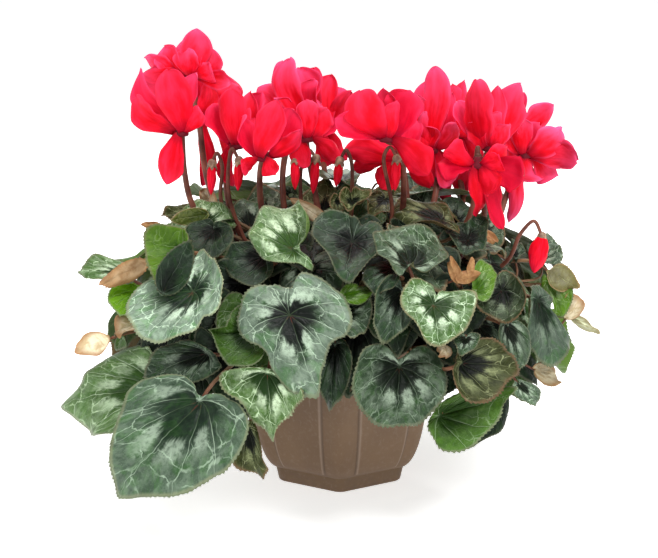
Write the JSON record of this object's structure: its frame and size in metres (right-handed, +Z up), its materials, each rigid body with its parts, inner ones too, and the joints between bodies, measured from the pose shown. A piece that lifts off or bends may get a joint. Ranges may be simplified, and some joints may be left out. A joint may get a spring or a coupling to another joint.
{
  "type": "potted cyclamen",
  "caption": "Flowering cyclamen with marbled heart-shaped leaves and reflexed red flowers on upright stalks, growing in a six-sided plastic bowl pot.",
  "frame": {"origin": "centre of the flat underside of the pot", "axes": "+Z up; -Y towards the front, where one corner of the pot points; +X to the right when seen from the front"},
  "size_m": [0.4367, 0.4325, 0.3731],
  "materials": {
    "pot_plastic": "taupe-brown moulded plastic, smooth and slightly satin",
    "soil": "dark, crumbly potting mix",
    "stem": "fleshy reddish-brown stalks, slightly glossy",
    "leaf": "waxy dark green blade with silver-green marbling and pale veins",
    "petal": "soft, thin scarlet petal with pinker edges"
  },
  "bodies": {
    "root": {"pot": "pot_plastic", "soil": "soil", "tuber_and_stems": "stem", "leaf_01": "leaf", "leaf_02": "leaf", "leaf_03": "leaf", "leaf_04": "leaf", "leaf_05": "leaf", "leaf_06": "leaf", "leaf_07": "leaf", "leaf_08": "leaf", "leaf_09": "leaf", "leaf_10": "leaf", "leaf_11": "leaf", "leaf_12": "leaf", "leaf_13": "leaf", "leaf_14": "leaf", "leaf_15": "leaf", "leaf_16": "leaf", "leaf_17": "leaf", "leaf_18": "leaf", "leaf_19": "leaf", "leaf_20": "leaf", "leaf_21": "leaf", "leaf_22": "leaf", "leaf_23": "leaf", "leaf_24": "leaf", "leaf_25": "leaf", "leaf_26": "leaf", "leaf_27": "leaf", "leaf_28": "leaf", "leaf_29": "leaf", "leaf_30": "leaf", "leaf_31": "leaf", "leaf_32": "leaf", "leaf_33": "leaf", "leaf_34": "leaf", "leaf_35": "leaf", "leaf_36": "leaf", "leaf_37": "leaf", "leaf_38": "leaf", "leaf_39": "leaf", "leaf_40": "leaf", "leaf_41": "leaf", "flower_01": "petal", "flower_02": "petal", "flower_03": "petal", "flower_04": "petal", "flower_05": "petal", "flower_06": "petal", "flower_07": "petal", "flower_08": "petal", "flower_09": "petal", "flower_10": "petal", "flower_11": "petal", "flower_12": "petal", "flower_13": "petal", "flower_14": "petal", "flower_15": "petal", "flower_16": "petal"}
  },
  "joints": []
}
